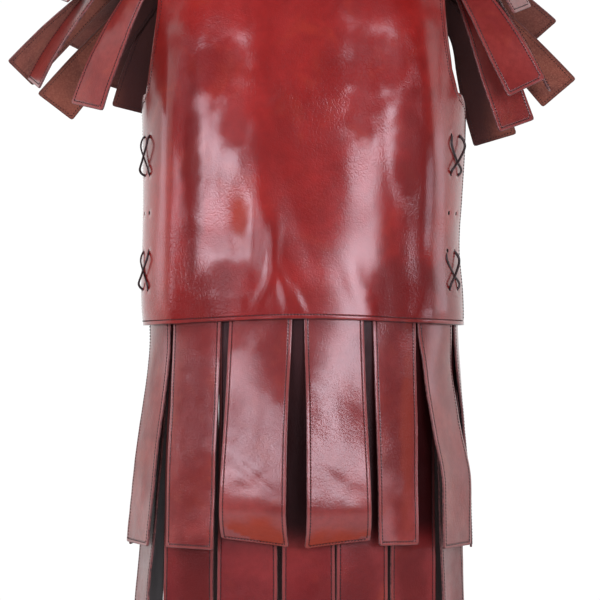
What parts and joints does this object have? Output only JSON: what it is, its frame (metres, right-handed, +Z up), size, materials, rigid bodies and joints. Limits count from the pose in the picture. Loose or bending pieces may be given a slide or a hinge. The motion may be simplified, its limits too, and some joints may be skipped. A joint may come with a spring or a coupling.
{
  "type": "leather subarmalis",
  "caption": "Sleeveless leather arming vest of a Roman soldier, laced at the sides, with tiers of hanging strips below the hem and strips fanned round the armholes.",
  "frame": {"origin": "in the middle of the body between the shoulders, at the height where the garment hangs on the wearer", "axes": "+Z up, the garment's front faces -Y, +X is to the right as seen from the front"},
  "size_m": [0.6591, 0.3091, 0.8838],
  "materials": {
    "body_leather": "polished red-brown cowhide with a soft sheen",
    "strap_leather": "red-brown grain outside, brown suede inside",
    "thong": "dark matt round thong"
  },
  "bodies": {
    "root": {"front_panel": "body_leather", "back_panel": "body_leather", "skirt_upper_01": "strap_leather", "skirt_upper_02": "strap_leather", "skirt_upper_03": "strap_leather", "skirt_upper_04": "strap_leather", "skirt_upper_05": "strap_leather", "skirt_upper_06": "strap_leather", "skirt_upper_07": "strap_leather", "skirt_upper_08": "strap_leather", "skirt_upper_09": "strap_leather", "skirt_upper_10": "strap_leather", "skirt_upper_11": "strap_leather", "skirt_upper_12": "strap_leather", "skirt_upper_13": "strap_leather", "skirt_lower_01": "strap_leather", "skirt_lower_02": "strap_leather", "skirt_lower_03": "strap_leather", "skirt_lower_04": "strap_leather", "skirt_lower_05": "strap_leather", "skirt_lower_06": "strap_leather", "skirt_lower_07": "strap_leather", "skirt_lower_08": "strap_leather", "skirt_lower_09": "strap_leather", "skirt_lower_10": "strap_leather", "skirt_lower_11": "strap_leather", "skirt_lower_12": "strap_leather", "skirt_lower_13": "strap_leather", "skirt_lower_14": "strap_leather", "shoulder_left_outer_1": "strap_leather", "shoulder_left_outer_2": "strap_leather", "shoulder_left_outer_3": "strap_leather", "shoulder_left_outer_4": "strap_leather", "shoulder_left_inner_1": "strap_leather", "shoulder_left_inner_2": "strap_leather", "shoulder_left_inner_3": "strap_leather", "shoulder_left_inner_4": "strap_leather", "lace_left_upper": "thong", "lace_left_lower": "thong", "shoulder_right_outer_1": "strap_leather", "shoulder_right_outer_2": "strap_leather", "shoulder_right_outer_3": "strap_leather", "shoulder_right_outer_4": "strap_leather", "shoulder_right_inner_1": "strap_leather", "shoulder_right_inner_2": "strap_leather", "shoulder_right_inner_3": "strap_leather", "shoulder_right_inner_4": "strap_leather", "lace_right_upper": "thong", "lace_right_lower": "thong"}
  },
  "joints": []
}
